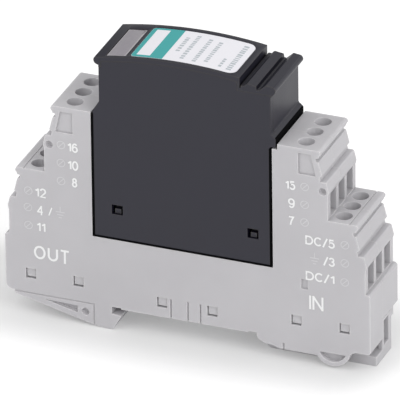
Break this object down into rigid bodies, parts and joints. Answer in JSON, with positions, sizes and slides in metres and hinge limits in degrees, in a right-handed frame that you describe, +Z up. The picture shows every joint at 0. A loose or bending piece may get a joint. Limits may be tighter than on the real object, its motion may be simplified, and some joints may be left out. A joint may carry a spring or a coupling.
{
  "type": "din rail surge arrester",
  "caption": "Slim rail-mounted surge arrester: stepped pale base with screw terminals and wire entries, and a dark plug-in arrester with a curved, labelled top that pulls out.",
  "frame": {"origin": "middle of the base's length and thickness, on the plane where the base sits on the rail", "axes": "+X along the length towards the IN terminals, +Y through the thickness from the printed face to the back, +Z up away from the rail"},
  "size_m": [0.09, 0.0176, 0.0721],
  "materials": {
    "pale_plastic": "matt moulded",
    "black_plastic": "fine matt moulded",
    "label": "printed film",
    "window": "smooth tinted",
    "board": "solder resist",
    "contact_metal": "tinned",
    "ceramic": "fired ceramic",
    "resistor": "lacquered",
    "diode": "moulded",
    "steel": "zinc plated"
  },
  "bodies": {
    "base": {"base_front_shell": "pale_plastic", "base_rear_shell": "pale_plastic", "busbars_in_upper": "contact_metal", "busbars_in_lower": "contact_metal", "busbars_out_upper": "contact_metal", "busbars_out_lower": "contact_metal", "rail_contact": "steel", "latch_spring": "steel"},
    "plug": {"plug_body": "black_plastic", "plug_cover": "black_plastic", "plug_label": "label", "status_window": "window", "circuit_board": "board", "contact_blades": "contact_metal", "gas_tube_bodies": "ceramic", "gas_tube_caps": "steel", "series_resistors": "resistor", "suppressor_diodes": "diode"},
    "latch": {"rail_latch": "pale_plastic"},
    "screw_in_upper_1": {"screw_in_upper_1": "steel"},
    "cage_in_upper_1": {"cage_in_upper_1": "steel"},
    "screw_in_upper_2": {"screw_in_upper_2": "steel"},
    "cage_in_upper_2": {"cage_in_upper_2": "steel"},
    "screw_in_upper_3": {"screw_in_upper_3": "steel"},
    "cage_in_upper_3": {"cage_in_upper_3": "steel"},
    "screw_in_lower_1": {"screw_in_lower_1": "steel"},
    "cage_in_lower_1": {"cage_in_lower_1": "steel"},
    "screw_in_lower_2": {"screw_in_lower_2": "steel"},
    "cage_in_lower_2": {"cage_in_lower_2": "steel"},
    "screw_in_lower_3": {"screw_in_lower_3": "steel"},
    "cage_in_lower_3": {"cage_in_lower_3": "steel"},
    "screw_out_upper_1": {"screw_out_upper_1": "steel"},
    "cage_out_upper_1": {"cage_out_upper_1": "steel"},
    "screw_out_upper_2": {"screw_out_upper_2": "steel"},
    "cage_out_upper_2": {"cage_out_upper_2": "steel"},
    "screw_out_upper_3": {"screw_out_upper_3": "steel"},
    "cage_out_upper_3": {"cage_out_upper_3": "steel"},
    "screw_out_lower_1": {"screw_out_lower_1": "steel"},
    "cage_out_lower_1": {"cage_out_lower_1": "steel"},
    "screw_out_lower_2": {"screw_out_lower_2": "steel"},
    "cage_out_lower_2": {"cage_out_lower_2": "steel"},
    "screw_out_lower_3": {"screw_out_lower_3": "steel"},
    "cage_out_lower_3": {"cage_out_lower_3": "steel"}
  },
  "joints": [
    {"name": "plug_pull", "type": "slide", "parent": "base", "child": "plug", "axis": [0, 0, 1], "range_m": [0, 0.042]},
    {"name": "latch_slide", "type": "slide", "parent": "base", "child": "latch", "axis": [1, 0, 0], "range_m": [0, 0.0024], "stiffness_N_per_m": 1200, "springref_m": -0.002, "deforming": ["latch_spring"]},
    {"name": "screw_in_upper_1_turn", "type": "hinge", "parent": "base", "child": "screw_in_upper_1", "pos_m": [0.0284, -0.0052, 0.0442], "axis": [0, 0, -1], "range_deg": [0, 1800]},
    {"name": "cage_in_upper_1_rise", "type": "slide", "parent": "base", "child": "cage_in_upper_1", "axis": [0, 0, 1], "range_m": [0, 0.0025]},
    {"name": "screw_in_upper_2_turn", "type": "hinge", "parent": "base", "child": "screw_in_upper_2", "pos_m": [0.0284, 0, 0.0442], "axis": [0, 0, -1], "range_deg": [0, 1800]},
    {"name": "cage_in_upper_2_rise", "type": "slide", "parent": "base", "child": "cage_in_upper_2", "axis": [0, 0, 1], "range_m": [0, 0.0025]},
    {"name": "screw_in_upper_3_turn", "type": "hinge", "parent": "base", "child": "screw_in_upper_3", "pos_m": [0.0284, 0.0052, 0.0442], "axis": [0, 0, -1], "range_deg": [0, 1800]},
    {"name": "cage_in_upper_3_rise", "type": "slide", "parent": "base", "child": "cage_in_upper_3", "axis": [0, 0, 1], "range_m": [0, 0.0025]},
    {"name": "screw_in_lower_1_turn", "type": "hinge", "parent": "base", "child": "screw_in_lower_1", "pos_m": [0.03745, -0.0052, 0.0267], "axis": [0, 0, -1], "range_deg": [0, 1800]},
    {"name": "cage_in_lower_1_rise", "type": "slide", "parent": "base", "child": "cage_in_lower_1", "axis": [0, 0, 1], "range_m": [0, 0.0025]},
    {"name": "screw_in_lower_2_turn", "type": "hinge", "parent": "base", "child": "screw_in_lower_2", "pos_m": [0.03745, 0, 0.0267], "axis": [0, 0, -1], "range_deg": [0, 1800]},
    {"name": "cage_in_lower_2_rise", "type": "slide", "parent": "base", "child": "cage_in_lower_2", "axis": [0, 0, 1], "range_m": [0, 0.0025]},
    {"name": "screw_in_lower_3_turn", "type": "hinge", "parent": "base", "child": "screw_in_lower_3", "pos_m": [0.03745, 0.0052, 0.0267], "axis": [0, 0, -1], "range_deg": [0, 1800]},
    {"name": "cage_in_lower_3_rise", "type": "slide", "parent": "base", "child": "cage_in_lower_3", "axis": [0, 0, 1], "range_m": [0, 0.0025]},
    {"name": "screw_out_upper_1_turn", "type": "hinge", "parent": "base", "child": "screw_out_upper_1", "pos_m": [-0.0284, -0.0052, 0.0442], "axis": [0, 0, -1], "range_deg": [0, 1800]},
    {"name": "cage_out_upper_1_rise", "type": "slide", "parent": "base", "child": "cage_out_upper_1", "axis": [0, 0, 1], "range_m": [0, 0.0025]},
    {"name": "screw_out_upper_2_turn", "type": "hinge", "parent": "base", "child": "screw_out_upper_2", "pos_m": [-0.0284, 0, 0.0442], "axis": [0, 0, -1], "range_deg": [0, 1800]},
    {"name": "cage_out_upper_2_rise", "type": "slide", "parent": "base", "child": "cage_out_upper_2", "axis": [0, 0, 1], "range_m": [0, 0.0025]},
    {"name": "screw_out_upper_3_turn", "type": "hinge", "parent": "base", "child": "screw_out_upper_3", "pos_m": [-0.0284, 0.0052, 0.0442], "axis": [0, 0, -1], "range_deg": [0, 1800]},
    {"name": "cage_out_upper_3_rise", "type": "slide", "parent": "base", "child": "cage_out_upper_3", "axis": [0, 0, 1], "range_m": [0, 0.0025]},
    {"name": "screw_out_lower_1_turn", "type": "hinge", "parent": "base", "child": "screw_out_lower_1", "pos_m": [-0.03745, -0.0052, 0.0267], "axis": [0, 0, -1], "range_deg": [0, 1800]},
    {"name": "cage_out_lower_1_rise", "type": "slide", "parent": "base", "child": "cage_out_lower_1", "axis": [0, 0, 1], "range_m": [0, 0.0025]},
    {"name": "screw_out_lower_2_turn", "type": "hinge", "parent": "base", "child": "screw_out_lower_2", "pos_m": [-0.03745, 0, 0.0267], "axis": [0, 0, -1], "range_deg": [0, 1800]},
    {"name": "cage_out_lower_2_rise", "type": "slide", "parent": "base", "child": "cage_out_lower_2", "axis": [0, 0, 1], "range_m": [0, 0.0025]},
    {"name": "screw_out_lower_3_turn", "type": "hinge", "parent": "base", "child": "screw_out_lower_3", "pos_m": [-0.03745, 0.0052, 0.0267], "axis": [0, 0, -1], "range_deg": [0, 1800]},
    {"name": "cage_out_lower_3_rise", "type": "slide", "parent": "base", "child": "cage_out_lower_3", "axis": [0, 0, 1], "range_m": [0, 0.0025]}
  ],
  "couplings": [
    {"joint": "screw_in_upper_1_turn", "follows": "cage_in_upper_1_rise", "rad_per_m": 12566},
    {"joint": "screw_in_upper_2_turn", "follows": "cage_in_upper_2_rise", "rad_per_m": 12566},
    {"joint": "screw_in_upper_3_turn", "follows": "cage_in_upper_3_rise", "rad_per_m": 12566},
    {"joint": "screw_in_lower_1_turn", "follows": "cage_in_lower_1_rise", "rad_per_m": 12566},
    {"joint": "screw_in_lower_2_turn", "follows": "cage_in_lower_2_rise", "rad_per_m": 12566},
    {"joint": "screw_in_lower_3_turn", "follows": "cage_in_lower_3_rise", "rad_per_m": 12566},
    {"joint": "screw_out_upper_1_turn", "follows": "cage_out_upper_1_rise", "rad_per_m": 12566},
    {"joint": "screw_out_upper_2_turn", "follows": "cage_out_upper_2_rise", "rad_per_m": 12566},
    {"joint": "screw_out_upper_3_turn", "follows": "cage_out_upper_3_rise", "rad_per_m": 12566},
    {"joint": "screw_out_lower_1_turn", "follows": "cage_out_lower_1_rise", "rad_per_m": 12566},
    {"joint": "screw_out_lower_2_turn", "follows": "cage_out_lower_2_rise", "rad_per_m": 12566},
    {"joint": "screw_out_lower_3_turn", "follows": "cage_out_lower_3_rise", "rad_per_m": 12566}
  ]
}
